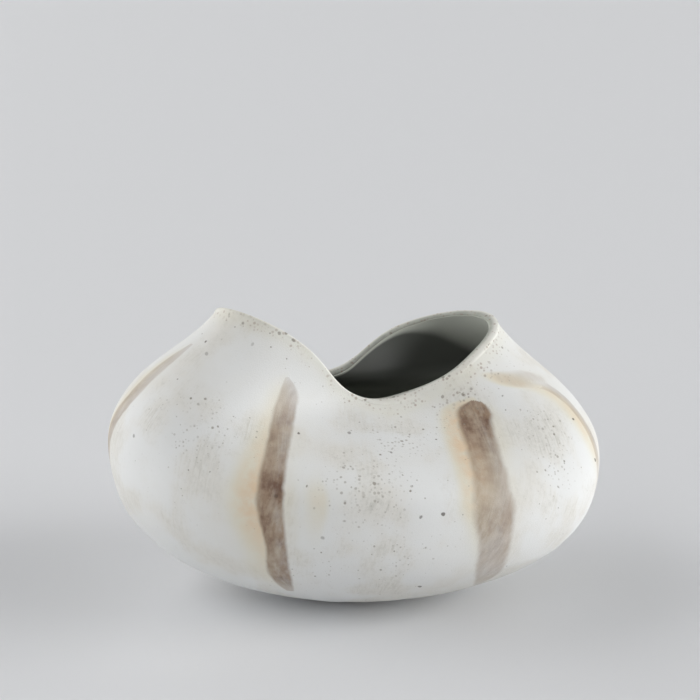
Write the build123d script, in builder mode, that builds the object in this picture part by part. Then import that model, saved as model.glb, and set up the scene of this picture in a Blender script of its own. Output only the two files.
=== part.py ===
"""Pillow vase: a wide hand-built stoneware vessel with a saddle-shaped mouth between two ears.

The body is lofted through level sections that turn, tilt and lean as they rise. A saddle cut
opens the mouth. The clay wall comes apart at its luted joints: base slab, lower bowl, upper
bowl and lip coil. A glaze coat lines the inside and a felt pad lies under the base.
X runs along the body, Y away from the front, Z up. The origin is the centre of the felt pad's
underside.
"""

import math
import os

from build123d import *

os.makedirs("parts", exist_ok=True)

# Driving sizes in mm
body_width = 332.0
body_depth = 226.0
form_height = 215.0
wall_thickness = 6.0
floor_thickness = 6.0
lip_height = 7.0
glaze_thickness = 0.8
bond_gap = 0.05
glaze_stop = 1.5
slab_margin = 5.0
felt_thickness = 2.0
felt_margin = 6.0
lean_right = 5.8
lean_back = 13.9

# Driving angles in degrees: the sections' turn and tilt at the top, and the mouth's direction
turn_at_top = 24.0
tilt_at_top = 6.95
mouth_direction = 44.5

# Level sections: half length and half depth at the base and at the floor, and then, going up,
# height, half length, half depth and how far the waist is pinched in, as shares of the form's
# height, half width, half depth and the section's own half depth
base_shares = (0.30, 0.30)
floor_shares = (0.45, 0.45)
level_shares = (
    (0.065, 0.60, 0.60, 0.0),
    (0.13, 0.77, 0.77, 0.0),
    (0.256, 0.94, 0.94, 0.0),
    (0.395, 1.0, 1.0, 0.02),
    (0.512, 0.998, 0.90, 0.045),
    (0.595, 0.947, 0.868, 0.488),
    (0.674, 0.86, 0.735, 0.582),
    (0.767, 0.718, 0.544, 0.366),
    (0.884, 0.58, 0.405, 0.232),
    (1.0, 0.533, 0.34, 0.318),
)
turn_start_share = 0.19
seam_share = 0.395
section_points = 20

# Rim along the mouth's direction: place as a share of the half width, height as a share of the form
rim_shares = (
    (-1.0, 1.256),
    (-0.6, 0.992),
    (-0.3, 0.821),
    (-0.12, 0.665),
    (0.06, 0.646),
    (0.3, 0.75),
    (0.6, 0.833),
    (1.0, 0.968),
)

half_width = body_width / 2
half_depth = body_depth / 2
base_length = half_width * base_shares[0]
base_depth = half_depth * base_shares[1]

# Outer levels from the base up: height, half length, half depth, half depth at the waist
outer_levels = [
    (0, base_length, base_depth, base_depth),
    (floor_thickness, half_width * floor_shares[0], half_depth * floor_shares[1], half_depth * floor_shares[1]),
]
for height_share, length_share, depth_share, pinch_share in level_shares:
    depth = half_depth * depth_share
    outer_levels.append(
        (form_height * height_share, half_width * length_share, depth, depth * (1 - pinch_share))
    )


def inner_levels(thickness):
    """Levels from the floor up, moved in along the wall's normal by the thickness."""
    floor_lift = thickness - wall_thickness
    levels = []
    for below, here, above in zip(outer_levels, outer_levels[1:], outer_levels[2:] + outer_levels[-1:]):
        rise = above[0] - below[0]
        sizes = [
            size - thickness * math.hypot(1, (size_above - size_below) / rise)
            for size_below, size, size_above in zip(below[1:], here[1:], above[1:])
        ]
        levels.append((here[0] + floor_lift * (not levels), *sizes))
    return levels


def level_plane(height):
    """Plane of one section: leaned, and tilted about Y so that its left end rises."""
    share = height / form_height
    tilt = math.radians(tilt_at_top * share)
    centre = (lean_right * share, lean_back * share, felt_thickness + height)
    return Plane(centre, x_dir=(math.cos(tilt), 0, -math.sin(tilt)), z_dir=(math.sin(tilt), 0, math.cos(tilt)))


def section_outline(height, length, depth, waist):
    """Points of one closed section: an ellipse pinched to its waist and turned."""
    turn_share = max(height / form_height - turn_start_share, 0) / (1 - turn_start_share)
    turn = math.radians(turn_at_top * turn_share)
    points = []
    for step in range(section_points):
        angle = math.tau * step / section_points
        along = length * math.cos(angle)
        across = math.sin(angle) * (depth - (depth - waist) * math.sin(angle) ** 4)
        turned_along = along * math.cos(turn) - across * math.sin(turn)
        turned_across = along * math.sin(turn) + across * math.cos(turn)
        points.append((turned_along, turned_across))
    return points


def lofted_form(levels):
    """Closed solid through the sections of the given levels."""
    with BuildPart() as form:
        for level in levels:
            with BuildSketch(level_plane(level[0])):
                with BuildLine():
                    Spline(*section_outline(*level), periodic=True)
                make_face()
        loft()
    return form.part


def above_saddle(drop):
    """Everything above the rim line, lowered by the drop: the space that opens the mouth."""
    facing = math.radians(mouth_direction)
    rim_plane = Plane(
        (0, 0, felt_thickness - drop),
        x_dir=(math.cos(facing), math.sin(facing), 0),
        z_dir=(math.sin(facing), -math.cos(facing), 0),
    )
    with BuildPart() as space:
        with BuildSketch(rim_plane):
            with BuildLine():
                rim_line = Spline(*[(half_width * place, form_height * height) for place, height in rim_shares])
                Polyline(
                    rim_line @ 1,
                    (half_width, form_height + body_width),
                    (-half_width, form_height + body_width),
                    rim_line @ 0,
                )
            make_face()
        extrude(amount=body_width, both=True)
    return space.part


# Closed forms of the clay's outside, the clay's inside, and the glaze's bonded and wet sides
clay_outside = lofted_form(outer_levels)
clay_inside = lofted_form(inner_levels(wall_thickness))
glaze_bonded = lofted_form(inner_levels(wall_thickness + bond_gap))
glaze_wet = lofted_form(inner_levels(wall_thickness + glaze_thickness))
seam_plane = level_plane(form_height * seam_share)

# Base slab: the flat oval of clay that closes the bottom
with BuildPart() as base_slab:
    with BuildSketch(Plane.XY.offset(felt_thickness)):
        Ellipse(base_length - slab_margin, base_depth - slab_margin)
    extrude(amount=floor_thickness + wall_thickness)
    add(clay_inside, mode=Mode.SUBTRACT)

# Lower bowl: the wall from the base up to the widest line
with BuildPart() as lower_bowl:
    add(clay_outside)
    add(clay_inside, mode=Mode.SUBTRACT)
    split(bisect_by=seam_plane, keep=Keep.BOTTOM)
    add(base_slab.part, mode=Mode.SUBTRACT)

# Upper bowl: the wall from the widest line up to the lip, with both ears
with BuildPart() as upper_bowl:
    add(clay_outside)
    add(clay_inside, mode=Mode.SUBTRACT)
    split(bisect_by=seam_plane, keep=Keep.TOP)
    add(above_saddle(lip_height), mode=Mode.SUBTRACT)

# Lip coil: the last coil of the wall, which follows the saddle
with BuildPart() as lip_coil:
    add(clay_outside)
    add(clay_inside, mode=Mode.SUBTRACT)
    add(above_saddle(0), mode=Mode.SUBTRACT)
    add(above_saddle(lip_height), mode=Mode.INTERSECT)

# Liner glaze: the coat poured inside, from the floor up to just under the rim
with BuildPart() as liner_glaze:
    add(glaze_bonded)
    add(glaze_wet, mode=Mode.SUBTRACT)
    add(above_saddle(glaze_stop), mode=Mode.SUBTRACT)

# Felt pad: an oval glued under the base slab
with BuildPart() as felt_pad:
    with BuildSketch():
        Ellipse(base_length - felt_margin, base_depth - felt_margin)
    extrude(amount=felt_thickness)

pieces = {
    "base_slab": base_slab,
    "lower_bowl": lower_bowl,
    "upper_bowl": upper_bowl,
    "lip_coil": lip_coil,
    "liner_glaze": liner_glaze,
    "felt_pad": felt_pad,
}
for name, piece in pieces.items():
    piece.part.label = name
    export_step(piece.part, f"parts/{name}.step")
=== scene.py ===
"""Pillow vase: a hand-built stoneware vessel with slip, oxide bands and a grey glazed inside.

The pieces follow the vessel from its foot up: felt pad, base slab, lower bowl, upper bowl,
lip coil and liner glaze. Then come the floor, the light and the camera. Lengths are in metres.
"""

import math

import bpy
import numpy as np
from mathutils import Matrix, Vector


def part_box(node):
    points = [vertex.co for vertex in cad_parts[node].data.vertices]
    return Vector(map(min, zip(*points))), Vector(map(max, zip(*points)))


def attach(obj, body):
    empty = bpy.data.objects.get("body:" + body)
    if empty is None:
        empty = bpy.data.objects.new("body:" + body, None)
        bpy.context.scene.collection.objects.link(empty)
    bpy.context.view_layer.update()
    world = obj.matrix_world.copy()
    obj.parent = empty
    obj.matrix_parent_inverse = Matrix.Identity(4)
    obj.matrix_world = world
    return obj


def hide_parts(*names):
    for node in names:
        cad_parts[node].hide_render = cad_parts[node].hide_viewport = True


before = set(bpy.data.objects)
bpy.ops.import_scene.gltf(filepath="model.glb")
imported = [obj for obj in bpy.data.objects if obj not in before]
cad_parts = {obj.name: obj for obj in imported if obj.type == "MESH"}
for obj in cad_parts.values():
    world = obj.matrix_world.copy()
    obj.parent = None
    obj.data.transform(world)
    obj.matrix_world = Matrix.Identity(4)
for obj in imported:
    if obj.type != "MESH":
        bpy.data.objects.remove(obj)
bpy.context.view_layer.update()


# Felt pad
# An oval of pressed wool felt, die-cut and glued under the base. Its cut edge is slightly ragged.

pad_low, pad_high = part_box("felt_pad")
felt_edge_round = 0.0006
felt_ragged = 0.0004
felt_grey = "#4b4845"
felt_grey_light = "#6a6661"
felt_fibre = 0.0006
felt_nap = 0.0004
disc_columns = 240
disc_rows = 12
disc_hub = 0.05
crease = math.radians(35)


def skin(name, grid, lift, girth, marks=None, closed=True):
    """Closed mesh over a grid of points whose columns go round.

    Its last row joins its first one, or, if not closed, both end rows are capped at their middles.
    The map's U runs round the girth and its V is the lift. Marks are numbers kept on the points.
    """
    rows, columns = grid.shape[:2]
    index = np.arange(rows * columns).reshape(rows, columns)
    right = np.roll(index, -1, axis=1)
    span = rows if closed else rows - 1
    quads = np.stack([index, right, np.roll(right, -1, axis=0), np.roll(index, -1, axis=0)], axis=-1)
    quads = quads[:span].reshape(-1, 4)
    points = grid.reshape(-1, 3)
    faces = quads.tolist()
    if not closed:
        bottom, top = rows * columns, rows * columns + 1
        points = np.concatenate([points, grid[[0, -1]].mean(axis=1)])
        faces += np.stack([np.full(columns, bottom), right[0], index[0]], axis=-1).tolist()
        faces += np.stack([np.full(columns, top), index[-1], right[-1]], axis=-1).tolist()
    mesh = bpy.data.meshes.new(name)
    mesh.from_pydata(points.tolist(), [], faces)
    turn = np.broadcast_to(np.arange(columns) / columns, (span, columns)).ravel()
    next_turn = turn + 1 / columns
    corners = np.zeros((len(mesh.loops), 2))
    corners[: quads.size, 0] = girth * np.stack([turn, next_turn, next_turn, turn], axis=-1).ravel()
    corners[: quads.size, 1] = lift.ravel()[quads].ravel()
    mesh.uv_layers.new(name="surface").data.foreach_set("uv", corners.ravel())
    for mark, values in (marks or {}).items():
        kept = np.pad(values.ravel(), (0, len(points) - values.size), mode="edge")
        mesh.attributes.new(mark, "FLOAT", "POINT").data.foreach_set("value", kept)
    mesh.shade_smooth()
    mesh.set_sharp_from_angle(angle=crease)
    made = bpy.data.objects.new(name, mesh)
    bpy.context.collection.objects.link(made)
    return made


def oval_disc(name, low, high, edge_round, ragged):
    """Flat oval between two corners: a profile with a rounded edge carried round an ellipse.

    The profile runs from the underside's middle, round the edge, to the middle of the top. The edge
    is cut in by a ragged line: two products of waves that cross.
    """
    centre = (low + high) / 2
    half = (high - low) / 2
    angle = np.linspace(0, math.tau, disc_columns, endpoint=False)
    flat = np.linspace(disc_hub, 1, disc_rows)
    arc = np.linspace(-math.pi / 2, math.pi / 2, disc_rows)
    still = np.zeros(disc_rows)
    reach = np.concatenate([flat, np.ones(disc_rows), flat[::-1]])[:, None]
    bulge = np.concatenate([still, edge_round * np.cos(arc), still])[:, None]
    side = centre[2] + half[2] * np.sin(arc)
    height = np.concatenate([still + low[2], side, still + high[2]])[:, None]
    wave = np.sin(37 * angle) * np.sin(23 * angle + 1) + np.sin(61 * angle + 2) * np.sin(47 * angle)
    edge = bulge - edge_round - ragged * (0.5 + 0.25 * wave)
    along = centre[0] + (half[0] + edge) * reach * np.cos(angle)
    across = centre[1] + (half[1] + edge) * reach * np.sin(angle)
    grid = np.stack([along, across, height + np.zeros_like(along)], axis=-1)
    return skin(name, grid, np.zeros_like(along), math.tau * half[0], closed=False)


def linear_colour(hex_code):
    """Linear RGBA of an sRGB hex code."""
    srgb = np.array([int(hex_code[i : i + 2], 16) for i in (1, 3, 5)]) / 255
    linear = np.where(srgb <= 0.04045, srgb / 12.92, ((srgb + 0.055) / 1.055) ** 2.4)
    return (*linear.tolist(), 1.0)


def add_node(tree, kind, inputs=None, **settings):
    """One shader node with its settings; each input takes a value or another node's output."""
    made = tree.nodes.new("ShaderNode" + kind)
    for name, value in settings.items():
        setattr(made, name, value)
    for name, value in (inputs or {}).items():
        if isinstance(value, bpy.types.NodeSocket):
            tree.links.new(value, made.inputs[name])
        else:
            made.inputs[name].default_value = value
    return made


def new_material(name):
    """A material with its node tree and its shader."""
    material = bpy.data.materials.new(name)
    material.use_nodes = True
    return material, material.node_tree, material.node_tree.nodes["Principled BSDF"]


def calc(tree, operation, *terms):
    """Output of one arithmetic node."""
    return add_node(tree, "Math", dict(enumerate(terms)), operation=operation).outputs[0]


def step(tree, value, start, end):
    """Smooth step of a value from 0 at the start to 1 at the end."""
    reach = {"Value": value, "From Min": start, "From Max": end}
    return add_node(tree, "MapRange", reach, interpolation_type="SMOOTHSTEP").outputs[0]


def noise(tree, place, size, detail=3.0, rough=0.5):
    """Noise with blotches of about the given size."""
    settings = {"Vector": place, "Scale": 1 / size, "Detail": detail, "Roughness": rough}
    return add_node(tree, "TexNoise", settings).outputs[0]


def blend(tree, share, under, over):
    """Colour over laid on colour under by the share."""
    return add_node(tree, "Mix", {0: share, 6: under, 7: over}, data_type="RGBA").outputs[2]


def bump(tree, shader, height, depth):
    """Relief of the given depth under the shader, from a height of 0 to 1."""
    made = add_node(tree, "Bump", {"Height": height, "Strength": 1.0, "Distance": depth})
    tree.links.new(made.outputs[0], shader.inputs["Normal"])


# Pressed felt: matted grey wool fibres with a soft, light-catching nap
felt, tree, shader = new_material("wool felt")
place = add_node(tree, "TexCoord").outputs["Object"]
fibres = noise(tree, place, felt_fibre, 4.0, 0.7)
wool = blend(tree, fibres, linear_colour(felt_grey), linear_colour(felt_grey_light))
tree.links.new(wool, shader.inputs["Base Color"])
shader.inputs["Roughness"].default_value = 0.95
shader.inputs["Sheen Weight"].default_value = 0.3
bump(tree, shader, fibres, felt_nap)

felt_pad = oval_disc("felt_pad_oval", pad_low, pad_high, felt_edge_round, felt_ragged)
felt_pad.data.materials.append(felt)
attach(felt_pad, "root")
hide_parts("felt_pad")


# Base slab
# A flat oval of clay, cut from a rolled slab, that closes the bottom. Its underside is left bare.

slab_low, slab_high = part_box("base_slab")
slab_edge_round = 0.0004
slab_ragged = 0.0001
bare_clay = "#b9a58d"
bare_clay_dark = "#93806b"
grog_size = 0.0016
grog_relief = 0.0003

# Bare fired stoneware: sandy tan clay with darker grog grains, dry to the touch
clay, tree, shader = new_material("bare stoneware")
place = add_node(tree, "TexCoord").outputs["Object"]
grog = noise(tree, place, grog_size, 5.0, 0.65)
grains = step(tree, grog, 0.45, 0.7)
body = blend(tree, grains, linear_colour(bare_clay), linear_colour(bare_clay_dark))
tree.links.new(body, shader.inputs["Base Color"])
shader.inputs["Roughness"].default_value = 0.9
bump(tree, shader, grog, grog_relief)

slab = oval_disc("base_slab_oval", slab_low, slab_high, slab_edge_round, slab_ragged)
slab.data.materials.append(clay)
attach(slab, "root")
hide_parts("base_slab")


# Lower bowl
# The lower half of the clay wall, pressed in a mould, luted to the slab and scraped smooth. It
# carries the matte slip, the iron speckle and the lower ends of the oxide bands.

body_width = 0.332
body_depth = 0.226
form_height = 0.215
wall_thickness = 0.006
floor_thickness = 0.006
lean_right = 0.0058
lean_back = 0.0139
turn_at_top = math.radians(24.0)
tilt_at_top = math.radians(6.95)
turn_start_share = 0.19
seam_share = 0.395
base_share = 0.30
floor_share = 0.45

# Level sections going up: height, half length, half depth and how far the waist is pinched in, as
# shares of the form's height, half width, half depth and the section's own half depth
level_shares = (
    (0.065, 0.60, 0.60, 0.0),
    (0.13, 0.77, 0.77, 0.0),
    (0.256, 0.94, 0.94, 0.0),
    (0.395, 1.0, 1.0, 0.02),
    (0.512, 0.998, 0.90, 0.045),
    (0.595, 0.947, 0.868, 0.488),
    (0.674, 0.86, 0.735, 0.582),
    (0.767, 0.718, 0.544, 0.366),
    (0.884, 0.58, 0.405, 0.232),
    (1.0, 0.533, 0.34, 0.318),
)
wall_columns = 640
wall_rows = 118
back_rows = 10
row_crowding = 0.8

half_width = body_width / 2
half_depth = body_depth / 2
felt_top = pad_high[2]
girth = math.pi * (half_width + half_depth)
wall_angle = math.pi / 2 + np.linspace(0, math.tau, wall_columns, endpoint=False)
low_shares = (
    (0, base_share, base_share, 0),
    (floor_thickness / form_height, floor_share, floor_share, 0),
)
outer_levels = np.array(low_shares + level_shares) * (form_height, half_width, half_depth, 1)
outer_levels[:, 3] = outer_levels[:, 2] * (1 - outer_levels[:, 3])


def inner_levels(thickness):
    """Levels from the floor up, moved in along the wall's normal by the thickness."""
    above = np.concatenate([outer_levels[2:], outer_levels[-1:]])
    rise = above - outer_levels[:-1]
    levels = outer_levels[1:].copy()
    levels[:, 1:] -= thickness * np.hypot(1, rise[:, 1:] / rise[:, :1])
    levels[0, 0] += thickness - wall_thickness
    return levels


def smooth_curve(knots, rows, at):
    """Natural cubic curve through the rows at the knots, read at any places between them."""
    gap = np.diff(knots)
    system = np.eye(len(knots))
    pull = np.zeros(rows.shape)
    for i in range(1, len(knots) - 1):
        system[i, i - 1 : i + 2] = gap[i - 1], 2 * (gap[i - 1] + gap[i]), gap[i]
        pull[i] = 6 * ((rows[i + 1] - rows[i]) / gap[i] - (rows[i] - rows[i - 1]) / gap[i - 1])
    bend = np.linalg.solve(system, pull)
    span = np.clip(np.searchsorted(knots, at) - 1, 0, len(gap) - 1)
    wide = gap[span][..., None]
    over = (at - knots[span])[..., None]
    left = wide - over
    return (
        (bend[span] * left**3 + bend[span + 1] * over**3) / (6 * wide)
        + (rows[span] / wide - bend[span] * wide / 6) * left
        + (rows[span + 1] / wide - bend[span + 1] * wide / 6) * over
    )


def travel_of(levels):
    """Distance travelled up the long profile at each level."""
    return np.concatenate([[0], np.cumsum(np.hypot(*np.diff(levels[:, :2], axis=0).T))])


def form(levels, travel, angle):
    """Points of the closed form: level ellipses pinched at the waist, turned, tilted and leaned.

    The sizes of the ellipse at any travel up the profile lie on a smooth curve through the levels.
    """
    height, length, depth, waist = np.moveaxis(smooth_curve(travel_of(levels), levels, travel), -1, 0)
    share = height / form_height
    turn = turn_at_top * np.maximum(share - turn_start_share, 0) / (1 - turn_start_share)
    tilt = tilt_at_top * share
    along = length * np.cos(angle)
    across = np.sin(angle) * (depth - (depth - waist) * np.sin(angle) ** 4)
    level_x = along * np.cos(turn) - across * np.sin(turn)
    level_y = along * np.sin(turn) + across * np.cos(turn)
    x = lean_right * share + level_x * np.cos(tilt)
    z = felt_top + height - level_x * np.sin(tilt)
    return np.stack([x, lean_back * share + level_y, z], axis=-1)


outer_travel = travel_of(outer_levels)
clay_levels = inner_levels(wall_thickness)
clay_travel = travel_of(clay_levels)
seam_level = len(low_shares) + [level[0] for level in level_shares].index(seam_share)
outer_seam = outer_travel[seam_level]
clay_seam = clay_travel[seam_level - 1]

# Shallow dents left by the paddle and the scraper: turns round the form, waves up it, start
dent_depth = 0.0004
dents = (
    (3, 21, 0.3),
    (5, -34, 1.9),
    (8, 47, 4.1),
    (13, 25, 2.2),
    (17, -62, 5.4),
    (24, 80, 0.8),
)

# Small steps that find the form's slopes: in radians round it and in metres up it
nudge = 0.002
climb_nudge = 0.0003


def turn_step(travel, angle):
    """How far the outside's points move for each radian round the form, by a small step both ways."""
    after = form(outer_levels, travel, angle + nudge)
    before = form(outer_levels, travel, angle - nudge)
    return (after - before) / (2 * nudge)


def hand_worked(grid, travel, angle):
    """The outside pressed in by shallow dents: a few crossing waves along the form's own normals."""
    above = form(outer_levels, travel + climb_nudge, angle)
    below = form(outer_levels, travel - climb_nudge, angle)
    normal = np.cross(turn_step(travel, angle), above - below)
    normal /= np.linalg.norm(normal, axis=-1, keepdims=True)
    waves = [np.sin(turns * angle + climbs * travel + start) for turns, climbs, start in dents]
    wave = sum(waves) / len(dents)
    return grid - normal * (dent_depth * (1 + wave))[..., None]


def outer_wall(low, high, rows):
    """Outside of the wall between two travels, with the travel and the angle of its points.

    Its rows crowd towards both ends, so that the shading runs on across the joints.
    """
    even = np.linspace(0, 1, rows)[:, None]
    share = (1 - row_crowding) * even + row_crowding * (1 - np.cos(math.pi * even)) / 2
    travel = low + (high - low) * share + np.zeros_like(wall_angle)
    angle = wall_angle + np.zeros_like(travel)
    return hand_worked(form(outer_levels, travel, angle), travel, angle), travel, angle


def inner_wall(levels, low, high, rows):
    """Inside of the wall from a high travel down to a low one."""
    travel = low + (high - low) * np.linspace(1, 0, rows)[:, None] + np.zeros_like(wall_angle)
    return form(levels, travel, wall_angle + np.zeros_like(travel))


# Oxide bands from bottom to top: height as a share of the form, section angle in degrees, half
# width, load of oxide, strength of the flush beside it and the flush's reach
bands = (
    # Front, on the left
    (
        (0.105, 250.0, 0.0020, 0.45, 0.10, 0.010),
        (0.14, 250.3, 0.0054, 0.72, 0.20, 0.014),
        (0.27, 250.1, 0.0068, 0.90, 0.50, 0.016),
        (0.40, 246.9, 0.0080, 1.10, 0.90, 0.016),
        (0.46, 246.0, 0.0086, 1.08, 0.90, 0.015),
        (0.52, 245.8, 0.0076, 0.92, 0.65, 0.014),
        (0.58, 246.6, 0.0079, 0.84, 0.40, 0.013),
        (0.63, 246.8, 0.0082, 0.70, 0.32, 0.012),
        (0.67, 246.2, 0.0064, 0.52, 0.28, 0.011),
        (0.72, 242.6, 0.0008, 0.25, 0.15, 0.010),
    ),
    # Front, on the right
    (
        (0.095, 313.0, 0.0020, 0.25, 0.00, 0.008),
        (0.13, 310.8, 0.0066, 0.44, 0.05, 0.008),
        (0.19, 306.6, 0.0096, 0.56, 0.10, 0.008),
        (0.27, 302.1, 0.0107, 0.64, 0.20, 0.009),
        (0.34, 299.4, 0.0122, 0.74, 0.30, 0.009),
        (0.40, 297.3, 0.0136, 0.68, 0.45, 0.010),
        (0.46, 295.6, 0.0128, 0.60, 0.65, 0.010),
        (0.54, 294.3, 0.0116, 0.80, 0.95, 0.011),
        (0.61, 295.0, 0.0106, 1.10, 0.95, 0.010),
        (0.645, 296.6, 0.0074, 1.10, 0.70, 0.008),
        (0.662, 297.6, 0.0020, 1.00, 0.40, 0.006),
    ),
    # Right end
    (
        (0.22, 351.0, 0.0015, 0.10, 0.00, 0.008),
        (0.32, 349.0, 0.0040, 0.24, 0.06, 0.010),
        (0.40, 346.0, 0.0048, 0.34, 0.14, 0.010),
        (0.48, 342.3, 0.0044, 0.46, 0.34, 0.011),
        (0.57, 338.8, 0.0040, 0.54, 0.55, 0.012),
        (0.62, 337.2, 0.0040, 0.52, 0.50, 0.012),
        (0.665, 334.6, 0.0042, 0.46, 0.45, 0.011),
        (0.69, 331.0, 0.0046, 0.34, 0.40, 0.010),
        (0.706, 326.5, 0.0046, 0.22, 0.30, 0.008),
        (0.718, 321.0, 0.0040, 0.10, 0.20, 0.007),
    ),
    # Front, a faint flush with no oxide
    (
        (0.24, 261.5, 0.0020, 0.00, 0.05, 0.012),
        (0.32, 260.0, 0.0040, 0.00, 0.16, 0.012),
        (0.40, 259.6, 0.0050, 0.00, 0.32, 0.012),
        (0.45, 258.6, 0.0050, 0.00, 0.34, 0.011),
        (0.50, 256.6, 0.0030, 0.00, 0.12, 0.010),
    ),
    # Right shoulder, a thin smear over the end of the band
    (
        (0.694, 326.5, 0.0060, 0.00, 0.10, 0.006),
        (0.707, 323.5, 0.0120, 0.24, 0.45, 0.006),
        (0.722, 320.5, 0.0145, 0.30, 0.50, 0.006),
        (0.735, 318.0, 0.0120, 0.26, 0.40, 0.006),
        (0.748, 315.0, 0.0070, 0.00, 0.10, 0.006),
    ),
    # Left end
    (
        (0.20, 184.0, 0.0020, 0.30, 0.05, 0.006),
        (0.38, 183.0, 0.0040, 0.50, 0.20, 0.007),
        (0.49, 184.5, 0.0060, 0.64, 0.30, 0.008),
        (0.55, 185.5, 0.0066, 0.64, 0.30, 0.008),
        (0.61, 186.5, 0.0066, 0.58, 0.30, 0.008),
        (0.68, 186.5, 0.0062, 0.50, 0.30, 0.008),
        (0.73, 186.5, 0.0045, 0.42, 0.25, 0.007),
        (0.775, 187.5, 0.0010, 0.30, 0.10, 0.006),
    ),
    # Back, on the side of the left end
    (
        (0.11, 125.0, 0.0030, 0.45, 0.05, 0.010),
        (0.20, 122.0, 0.0110, 0.70, 0.25, 0.012),
        (0.36, 118.5, 0.0135, 0.95, 0.60, 0.014),
        (0.50, 117.0, 0.0130, 0.80, 0.80, 0.014),
        (0.60, 118.0, 0.0095, 0.60, 0.40, 0.012),
        (0.67, 121.0, 0.0015, 0.40, 0.10, 0.010),
    ),
    # Back, on the side of the right end
    (
        (0.12, 71.0, 0.0020, 0.40, 0.05, 0.010),
        (0.20, 69.0, 0.0085, 0.65, 0.20, 0.012),
        (0.36, 65.0, 0.0100, 0.80, 0.45, 0.014),
        (0.50, 63.5, 0.0105, 0.95, 0.75, 0.014),
        (0.60, 65.0, 0.0085, 0.70, 0.40, 0.012),
        (0.68, 67.0, 0.0012, 0.40, 0.05, 0.010),
    ),
)

# Past a band's ends the flush fades faster by its rise. On a band's right side, as seen from
# outside, only the lee share of it is left. Points on no band have the off-band reach.
flush_rise = 3.0
lee_share = 0.25
off_band = 9.0

# Crowds of iron speckle: section angle in degrees, height as a share of the form, reach, strength
crowds = (
    (266, 0.48, 0.040, 1.0),
    (275, 0.56, 0.030, 0.9),
    (279, 0.26, 0.030, 0.7),
    (263, 0.22, 0.030, 0.5),
    (291, 0.65, 0.026, 1.0),
    (308, 0.77, 0.026, 1.0),
    (327, 0.78, 0.020, 0.7),
    (316, 0.58, 0.028, 0.9),
    (316, 0.48, 0.026, 0.8),
    (224, 0.58, 0.034, 0.8),
    (205, 0.62, 0.024, 0.5),
    (140, 0.50, 0.040, 0.8),
    (92, 0.55, 0.035, 0.9),
    (88, 0.30, 0.030, 0.6),
    (40, 0.60, 0.030, 0.8),
    (15, 0.45, 0.030, 0.6),
)


def surface_marks(grid, travel, angle):
    """Marks of the points of an outside: their place on the bands, their flush and their speckle."""
    height = smooth_curve(outer_travel, outer_levels[:, :1], travel)[..., 0] / form_height
    arc = np.linalg.norm(turn_step(travel, angle), axis=-1)
    beside = np.full(angle.shape, off_band)
    load = np.zeros(angle.shape)
    flush = np.zeros(angle.shape)
    for band in bands:
        rows = np.array(band)
        held = np.clip(height, rows[0, 0], rows[-1, 0])
        traced = smooth_curve(rows[:, 0], rows[:, 1:], held)
        centre = np.radians(traced[..., 0])
        half = np.maximum(traced[..., 1], rows[:, 2].min())
        loaded, flushed, fades = np.moveaxis(traced[..., 2:], -1, 0)
        lean = arc * np.gradient(centre, axis=0) / np.gradient(travel, axis=0)
        away = (np.mod(angle - centre + math.pi, math.tau) - math.pi) * arc / np.hypot(1, lean)
        reach = np.where(held == height, np.abs(away) / half, off_band)
        nearer = reach < beside
        beside = np.where(nearer, reach, beside)
        load = np.where(nearer, loaded, load)
        flushed *= 1 - (1 - lee_share) * np.clip(0.5 + away / half, 0, 1)
        outward = np.maximum(np.abs(away) - half, 0)
        beyond = flush_rise * form_height * (height - held)
        flush = np.maximum(flush, flushed * np.exp(-(outward**2 + beyond**2) / fades**2))
    crowd = np.zeros(angle.shape)
    for turn, share, reach, strength in crowds:
        climb = np.interp(share * form_height, outer_levels[:, 0], outer_travel)
        middle = form(outer_levels, np.array(climb), np.radians(turn))
        away = np.linalg.norm(grid - middle, axis=-1)
        crowd = np.maximum(crowd, strength * np.exp(-((away / reach) ** 2)))
    return {"band_beside": beside, "band_load": load, "band_flush": flush, "speck_crowd": crowd}


def marked(marks, rows, **more):
    """Marks of an outside, with a plain value for the rows that follow it."""
    plain = {"band_beside": off_band}
    return {
        name: np.concatenate([values, np.full((rows, wall_columns), plain.get(name, 0.0))])
        for name, values in {**marks, **more}.items()
    }


# Slip over stoneware: off-white slip brushed on thin, dry and matte. Iron in the clay has bled
# through as speckle. Bands of brown oxide were brushed down the wall, with a pale flush beside them.
slip_cool = "#dedfde"
slip_warm = "#d9d7d1"
slip_thin = "#c2c1ba"
flush_peach = "#dac4a8"
flush_straw = "#d8d4bd"
oxide = "#98836f"
oxide_dark = "#735b4d"
iron = "#4f463d"
iron_faint = "#8a8479"
iron_rust = "#8c705f"
# Grey of the lip's crown and inner side: part glaze film, part painted shade
rim_grey_and_shade = "#a2a49b"
cloud_size = 0.060
mottle_size = 0.010
patch_size = 0.035
wobble_size = 0.010
grit_size = 0.0030
streak_width = 0.0016
streak_length = 0.014
wash_width = 0.008
wash_length = 0.018
fine_speck_cell = 0.0023
fine_speck_radius = 0.0014
speck_cell = 0.0046
speck_radius = 0.0016
large_speck_cell = 0.0150
large_speck_radius = 0.0017
speck_wander = 0.25
speck_soft = 0.0003
grain_size = 0.0008
slip_relief = 0.00025

slip, tree, shader = new_material("slip on stoneware")
place = add_node(tree, "TexCoord").outputs["Object"]
surface = add_node(tree, "UVMap", uv_map="surface").outputs[0]
mark = {
    name: add_node(tree, "Attribute", attribute_name=name).outputs["Fac"]
    for name in ("band_beside", "band_load", "band_flush", "speck_crowd", "rim_near", "glazed")
}


def brushed_noise(tree, surface, width, length, detail, rough):
    """Noise drawn out up the wall, as a brush leaves it, with streaks of a width and length."""
    scale = (1 / width, 1 / length, 1.0)
    drawn = add_node(tree, "Mapping", {"Vector": surface, "Scale": scale}).outputs[0]
    return noise(tree, drawn, 1.0, detail, rough)


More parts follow.
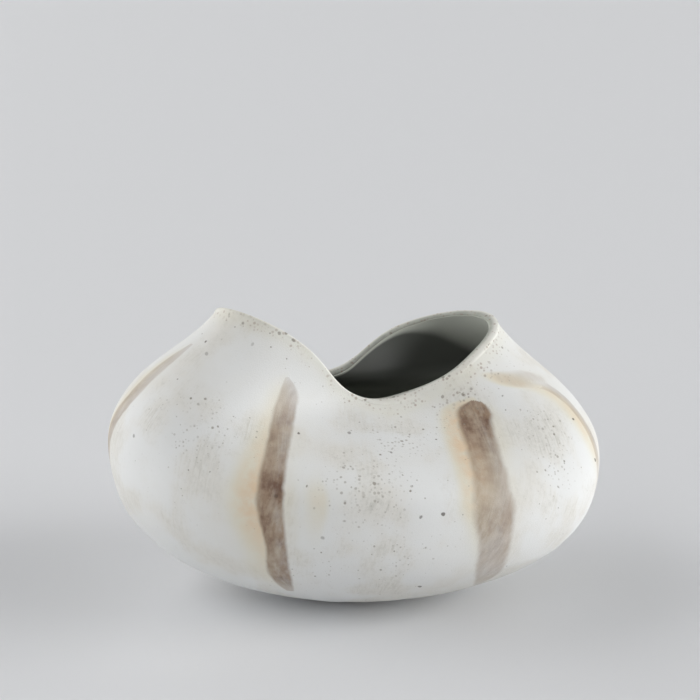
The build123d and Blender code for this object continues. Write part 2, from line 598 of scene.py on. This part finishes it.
def specks(tree, place, cell, share, radius, crowd):
    """Specks, one to a cell, in the given share of cells, sized up to a radius by the crowd.

    Their edges wander a little, and each one is as dark as its cell's own number says.
    """
    wander = add_node(tree, "TexNoise", {"Vector": place, "Scale": 2 / cell}).outputs["Color"]
    sway = (speck_wander * cell,) * 3
    moved = add_node(tree, "VectorMath", {0: wander, 1: sway, 2: place}, operation="MULTIPLY_ADD")
    cells = add_node(tree, "TexVoronoi", {"Vector": moved.outputs[0], "Scale": 1 / cell})
    pick = add_node(tree, "SeparateColor", {"Color": cells.outputs["Color"]})
    size = calc(tree, "MULTIPLY", step(tree, pick.outputs[0], 1 - share, 1.0), crowd)
    soft = speck_soft / cell
    edge = calc(tree, "MULTIPLY_ADD", size, radius / cell, -soft)
    inside = step(tree, calc(tree, "SUBTRACT", edge, cells.outputs["Distance"]), -soft, soft)
    return calc(tree, "MULTIPLY", inside, calc(tree, "MULTIPLY_ADD", pick.outputs[1], 0.75, 0.25))


# Tone of the slip: broad clouds, and brush streaks in patches
streaks = brushed_noise(tree, surface, streak_width, streak_length, 3.0, 0.6)
wash = brushed_noise(tree, surface, wash_width, wash_length, 4.0, 0.6)
cloud = noise(tree, place, cloud_size, 3.0, 0.55)
mottle = noise(tree, place, mottle_size, 4.0, 0.6)
patches = step(tree, noise(tree, place, patch_size, 2.0, 0.5), 0.40, 0.65)
patchy = calc(tree, "MULTIPLY", streaks, patches)
tone = calc(tree, "MULTIPLY_ADD", cloud, 0.75, calc(tree, "MULTIPLY", patchy, 0.5))
warmth = step(tree, tone, 0.30, 0.76)
slip_tone = blend(tree, warmth, linear_colour(slip_cool), linear_colour(slip_warm))

# Grit and scratches where the slip is thin, most of them where the specks crowd
coarse = noise(tree, place, grit_size, 4.0, 0.7)
grit = calc(tree, "MULTIPLY_ADD", coarse, 0.7, calc(tree, "MULTIPLY", patchy, 0.3))
gritty = calc(tree, "MULTIPLY_ADD", mark["speck_crowd"], 0.40, 0.36)
scratched = calc(tree, "MAXIMUM", step(tree, grit, 0.40, 0.70), step(tree, patchy, 0.52, 0.62))
thinned_share = calc(tree, "MULTIPLY", scratched, gritty)
thinned = blend(tree, thinned_share, slip_tone, linear_colour(slip_thin))

# Flush: straw at its edge and along the rim, peach where it is strong
rim_straw = calc(tree, "MULTIPLY", mark["rim_near"], 0.24)
straw_near = calc(tree, "MAXIMUM", mark["band_flush"], rim_straw)
straw_share = calc(tree, "MULTIPLY", step(tree, straw_near, 0.0, 0.5), 0.6)
straw = blend(tree, straw_share, thinned, linear_colour(flush_straw))
strong = step(tree, mark["band_flush"], 0.10, 0.95)
peach_share = calc(tree, "MULTIPLY", strong, step(tree, mottle, 0.15, 0.65))
flushed = blend(tree, peach_share, straw, linear_colour(flush_peach))

# Oxide: a band with a wobbling edge, washed thin in streaks and darker in mottles
wobble = calc(tree, "SUBTRACT", noise(tree, place, wobble_size, 3.0, 0.55), 0.5)
beside = calc(tree, "MULTIPLY_ADD", wobble, 0.45, mark["band_beside"])
core = step(tree, beside, 1.20, 0.74)
brushed = calc(tree, "MULTIPLY_ADD", streaks, 0.2, calc(tree, "MULTIPLY", wash, 0.8))
washed = calc(tree, "MULTIPLY_ADD", step(tree, brushed, 0.30, 0.66), 0.38, 0.62)
band_share = calc(tree, "MULTIPLY", calc(tree, "MULTIPLY", core, washed), mark["band_load"])
dark_share = calc(tree, "MULTIPLY", step(tree, mottle, 0.35, 0.68), mark["band_load"])
oxide_tone = blend(tree, dark_share, linear_colour(oxide), linear_colour(oxide_dark))
banded = blend(tree, band_share, flushed, oxide_tone)

# Grey film on the lip, part glaze and part painted shade, and over it three sizes of iron specks
glazed_share = calc(tree, "MULTIPLY_ADD", step(tree, mottle, 0.2, 0.6), 0.3, 0.7)
film_and_shade_share = calc(tree, "MULTIPLY", glazed_share, mark["glazed"])
rimmed = blend(tree, film_and_shade_share, banded, linear_colour(rim_grey_and_shade))
rim_crowd = calc(tree, "MULTIPLY", mark["rim_near"], 0.9)
crowd = calc(tree, "MAXIMUM", mark["speck_crowd"], rim_crowd)
crowded = calc(tree, "MULTIPLY_ADD", crowd, 0.65, 0.35)
fine = specks(tree, place, fine_speck_cell, 1.0, fine_speck_radius, crowd)
middling = specks(tree, place, speck_cell, 0.9, speck_radius, crowded)
large = specks(tree, place, large_speck_cell, 0.8, large_speck_radius, 1.0)
fleck = blend(tree, mark["rim_near"], linear_colour(iron_faint), linear_colour(iron_rust))
fine_laid = blend(tree, calc(tree, "MULTIPLY", fine, 0.58), rimmed, fleck)
middling_share = calc(tree, "MULTIPLY", middling, 0.9)
middling_laid = blend(tree, middling_share, fine_laid, linear_colour(iron_faint))
coloured = blend(tree, large, middling_laid, linear_colour(iron))

# Dry matte surface: brush streaks and grain stand up, and the larger specks are pits
tree.links.new(coloured, shader.inputs["Base Color"])
shader.inputs["Roughness"].default_value = 0.82
shader.inputs["Specular IOR Level"].default_value = 0.3
grain = noise(tree, place, grain_size, 3.0, 0.6)
relief = calc(tree, "MULTIPLY_ADD", patchy, 0.4, calc(tree, "MULTIPLY", grain, 0.6))
pits = calc(tree, "MULTIPLY", calc(tree, "MAXIMUM", middling, large), 0.6)
bump(tree, shader, calc(tree, "SUBTRACT", relief, pits), slip_relief)

outside, travel, angle = outer_wall(outer_travel[0], outer_seam, wall_rows)
inside = inner_wall(clay_levels, clay_travel[0], clay_seam, back_rows)
slab_half = (slab_high - slab_low) / 2
slab_x = slab_half[0] * np.cos(wall_angle)
slab_y = slab_half[1] * np.sin(wall_angle)
slab_joint = np.stack([slab_x, slab_y, np.full(wall_columns, felt_top + floor_thickness)], axis=-1)
slab_foot = np.stack([slab_x, slab_y, np.full(wall_columns, felt_top)], axis=-1)
grid = np.concatenate([outside, inside, slab_joint[None], slab_foot[None]])
hidden_rows = len(grid) - wall_rows
lower_bowl = skin(
    "lower_bowl_wall",
    grid,
    np.concatenate([travel, np.zeros((hidden_rows, wall_columns))]),
    girth,
    marked(surface_marks(outside, travel, angle), hidden_rows, rim_near=0 * travel, glazed=0 * travel),
)
lower_bowl.data.materials.append(slip)
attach(lower_bowl, "root")
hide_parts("lower_bowl")


# Upper bowl
# The upper half of the wall, shaped by hand into two ears with a saddle between them, and luted
# to the lower bowl at the widest line, where the joint was scraped until it vanished.

lip_height = 0.007
mouth_direction = math.radians(44.5)
rim_reach = 0.009
search_from = 0.35
search_rows = 900

# Rim along the mouth's direction: place as a share of the half width, height as a share of the form
rim_shares = (
    (-1.0, 1.256),
    (-0.6, 0.992),
    (-0.3, 0.821),
    (-0.12, 0.665),
    (0.06, 0.646),
    (0.3, 0.75),
    (0.6, 0.833),
    (1.0, 0.968),
)
rim_line = np.array(rim_shares) * (half_width, form_height)


def travel_at_rim(levels, drop):
    """Travel up the profile where the form passes the rim line, lowered by the drop, at each angle."""
    climbed = np.linspace(search_from, 1.0, search_rows)[:, None]
    travel = climbed * travel_of(levels)[-1] + np.zeros_like(wall_angle)
    grid = form(levels, travel, wall_angle + np.zeros_like(travel))
    place = grid[..., 0] * math.cos(mouth_direction) + grid[..., 1] * math.sin(mouth_direction)
    rim = smooth_curve(rim_line[:, 0], rim_line[:, 1:], np.clip(place, -half_width, half_width))[..., 0]
    gap = grid[..., 2] - felt_top - rim + drop
    first = np.clip(np.argmax(gap > 0, axis=0), 1, None)
    column = np.arange(wall_columns)
    before, after = gap[first - 1, column], gap[first, column]
    share = np.clip(before / (before - after), 0, 1)
    return travel[first - 1, column] * (1 - share) + travel[first, column] * share


wall_top = travel_at_rim(outer_levels, lip_height)
clay_top = travel_at_rim(clay_levels, lip_height)
outside, travel, angle = outer_wall(outer_seam, wall_top, wall_rows)
inside = inner_wall(clay_levels, clay_seam, clay_top, back_rows)
rim_near = np.exp(-np.linalg.norm(outside - outside[-1:], axis=-1) / rim_reach)
upper_bowl = skin(
    "upper_bowl_wall",
    np.concatenate([outside, inside]),
    np.concatenate([travel, np.zeros_like(inside[..., 0])]),
    girth,
    marked(surface_marks(outside, travel, angle), back_rows, rim_near=rim_near, glazed=0 * travel),
)
upper_bowl.data.materials.append(slip)
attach(upper_bowl, "root")
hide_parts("upper_bowl")


# Lip coil
# The last coil of clay, laid along the saddle and smoothed with a wet finger, so that its top is
# softly rounded. A grey film lies over its crown and its inner side, part glaze creeping over from
# the liner and part painted shade where the lip faces away from the light. Iron specks show.

outer_round = 0.0030
inner_round = 0.0014
crown_fullness = 0.8
film_start = 0.4
film_full = 0.8
side_rows = 10
top_rows = 18

outside, travel, angle = outer_wall(wall_top, travel_at_rim(outer_levels, outer_round), side_rows)
inside = inner_wall(clay_levels, clay_top, travel_at_rim(clay_levels, inner_round), side_rows)
over = np.linspace(0, math.pi, top_rows + 2)[1:-1, None, None]
inward = (1 - np.cos(over)) / 2
crown = outside[-1] * (1 - inward) + inside[0] * inward
swell = (outer_round * (1 - inward) + inner_round * inward) * np.sin(over) ** crown_fullness
crown[..., 2] += swell[..., 0]
# A grey film over the inner half of the crown and all of the inner side: part glaze, part painted shade
covered = (inward[..., 0] - film_start) / (film_full - film_start)
film_over = np.clip(covered, 0, 1) + 0 * wall_angle
film_and_shade = np.concatenate([0 * travel, film_over, np.ones_like(inside[..., 0])])
lift = np.concatenate([travel, travel[-1] + outer_round * inward[..., 0], 0 * travel])
marks = marked(surface_marks(outside, travel, angle), top_rows + side_rows)
marks["rim_near"] = np.ones_like(film_and_shade)
marks["glazed"] = film_and_shade
lip_coil = skin("lip_coil_bead", np.concatenate([outside, crown, inside]), lift, girth, marks)
lip_coil.data.materials.append(slip)
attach(lip_coil, "root")
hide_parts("lip_coil")


# Liner glaze
# A grey glaze, poured in and swirled round, so that the clay holds water. It stops in a wavy line
# just inside the lip. Painted light makes it pale in a band below the rim and far down the right
# inner wall, and lighter low inside, where it lifts the shade.

glaze_thickness = 0.0008
bond_gap = 0.00005
glaze_stop = 0.0015
glaze_wave = 0.0004
# Pale grey painted light on the glaze: the lit band under the rim and the lit right inner wall
glaze_painted_light = "#c2c5bb"
glaze_grey = "#5a5c57"
# Lighter grey painted low inside, as painted light that lifts the shade deep in the vase
glaze_painted_lift = "#b2b4ae"
painted_lift_start = 0.142
painted_lift_full = 0.120
pool_size = 0.030
pool_relief = 0.0003
dot_cell = 0.006
dot_share = 0.3
dot_radius = 0.0007
glaze_rows = 90
bond_rows = 16
floor_rows = 12

# How far down from the rim the painted light reaches: a little all round, as a lit band, and a long
# way down the right inner wall, where the light falls. The wall's angles run from 90 to 450
# degrees, so the lit wall's angle has a whole turn in it.
lit_band_run = 0.002
lit_wall_run = 0.120
lit_wall_angle = math.radians(375)
lit_wall_spread = math.radians(27)
deepest = 5.0
painted_light_run = lit_band_run + lit_wall_run * np.exp(-(((wall_angle - lit_wall_angle) / lit_wall_spread) ** 2))

# Waves of the glaze's edge: turns round the form, start
edge_waves = ((7, 0), (13, 1), (22, 4))

wet_levels = inner_levels(wall_thickness + glaze_thickness)
bonded_levels = inner_levels(wall_thickness + bond_gap)
wave = sum(np.sin(turns * wall_angle + start) for turns, start in edge_waves)
stop = glaze_stop + glaze_wave * (1 + wave / len(edge_waves))
wet = inner_wall(wet_levels, 0, travel_at_rim(wet_levels, stop), glaze_rows)
bonded = inner_wall(bonded_levels, 0, travel_at_rim(bonded_levels, stop), bond_rows)[::-1]


def floor_rings(edge, shares):
    """Rings that shrink from an edge towards its middle by the shares."""
    middle = edge.mean(axis=0)
    return middle + (edge - middle) * shares[:, None, None]


shares = np.linspace(disc_hub, 1 - disc_hub, floor_rows)
bonded_floor = floor_rings(bonded[0], shares)
wet_floor = floor_rings(wet[-1], shares[::-1])
grid = np.concatenate([bonded_floor, bonded, wet, wet_floor])

# Satin glaze: cloudy grey with fine iron specks, smooth but not mirror bright. Painted light
# makes it pale below the rim and down the right inner wall, and lighter again low inside, where
# it lifts the shade.
glaze, tree, shader = new_material("grey satin glaze")
place = add_node(tree, "TexCoord").outputs["Object"]
pools = noise(tree, place, pool_size, 4.0, 0.6)
below = add_node(tree, "Attribute", attribute_name="below_rim").outputs["Fac"]
# Painted light: pale near the rim and down the right inner wall, fading into the glaze's own grey
# further down
painted_light_fade = calc(tree, "MULTIPLY_ADD", pools, 0.2, calc(tree, "SUBTRACT", below, 0.1))
thickness = step(tree, painted_light_fade, 0.1, 0.9)
glaze_and_painted_light = blend(tree, thickness, linear_colour(glaze_painted_light), linear_colour(glaze_grey))
height = add_node(tree, "SeparateXYZ", {0: place}).outputs[2]
# Painted light low inside: the glaze turns lighter below this height, lifting the shade there
low = step(tree, height, painted_lift_start, painted_lift_full)
grey = blend(tree, low, glaze_and_painted_light, linear_colour(glaze_painted_lift))
dots = specks(tree, place, dot_cell, dot_share, dot_radius, 1.0)
dotted = blend(tree, calc(tree, "MULTIPLY", dots, 0.6), grey, linear_colour(iron))
tree.links.new(dotted, shader.inputs["Base Color"])
shader.inputs["Roughness"].default_value = 0.5
bump(tree, shader, pools, pool_relief)

below_rim = np.minimum(np.linalg.norm(grid - wet[0], axis=-1) / painted_light_run, deepest)
liner = skin("liner_glaze_coat", grid, 0 * below_rim, girth, {"below_rim": below_rim}, closed=False)
liner.data.materials.append(glaze)
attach(liner, "root")
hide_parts("liner_glaze")


# Floor
# A plain pale sheet under the vase, wider than the picture.

floor_half = 20.0
floor_pale = "#dcdddf"
floor_mesh = bpy.data.meshes.new("floor")
corners = floor_half * np.array([(-1, -1, 0), (1, -1, 0), (1, 1, 0), (-1, 1, 0)])
floor_mesh.from_pydata(corners.tolist(), [], [(0, 1, 2, 3)])
floor = bpy.data.objects.new("floor", floor_mesh)
bpy.context.collection.objects.link(floor)
sheet, tree, shader = new_material("pale floor")
shader.inputs["Base Color"].default_value = linear_colour(floor_pale)
shader.inputs["Roughness"].default_value = 0.8
shader.inputs["Specular IOR Level"].default_value = 0.2
floor_mesh.materials.append(sheet)


# Light
# Broad soft daylight: each lamp's direction round from the right and up, in degrees, its spread
# and its strength. An even pale light from all round fills the rest.

lamps = (
    (-9, 12, 45, 3.5),
    (35, 15, 60, 0.8),
    (196, 4, 110, 2.9),
    (150, 12, 100, 2.0),
    (265, 42, 60, 0.16),
)
fill_pale = "#eef1f4"
fill_strength = 0.08

for turn, rise, spread, strength in lamps:
    sun = bpy.data.lights.new("daylight", "SUN")
    sun.energy = strength
    sun.angle = math.radians(spread)
    lamp = bpy.data.objects.new("daylight", sun)
    lamp.rotation_euler = (0, math.radians(90 - rise), math.radians(turn))
    bpy.context.collection.objects.link(lamp)

world = bpy.data.worlds.new("fill")
world.use_nodes = True
world.node_tree.nodes["Background"].inputs["Color"].default_value = linear_colour(fill_pale)
world.node_tree.nodes["Background"].inputs["Strength"].default_value = fill_strength
bpy.context.scene.world = world
bpy.context.scene.view_settings.view_transform = "Standard"


# Camera
# The photograph's angle: a long lens, looking down a little, with the vase low in the frame.

photo_side = 700
focal_pixels = 1700.0
pixels_per_metre = 1485.0
look_down = math.radians(13.5)
vase_pixel = (353.0, 450.5)
vase_middle = np.array([0.0, 0.0, 0.097])
distance = focal_pixels / pixels_per_metre
ahead = np.array([0, math.cos(look_down), -math.sin(look_down)])
upward = np.array([0, math.sin(look_down), math.cos(look_down)])
sideways = np.array([1.0, 0, 0])
shift_right = (vase_pixel[0] - photo_side / 2) / pixels_per_metre
shift_down = (vase_pixel[1] - photo_side / 2) / pixels_per_metre
eye = vase_middle - ahead * distance - sideways * shift_right + upward * shift_down
camera = bpy.data.cameras.new("camera")
camera.sensor_width = 36.0
camera.lens = camera.sensor_width * focal_pixels / photo_side
view = bpy.data.objects.new("camera", camera)
view.location = eye.tolist()
view.rotation_euler = (math.pi / 2 - look_down, 0, 0)
bpy.context.collection.objects.link(view)
bpy.context.scene.camera = view
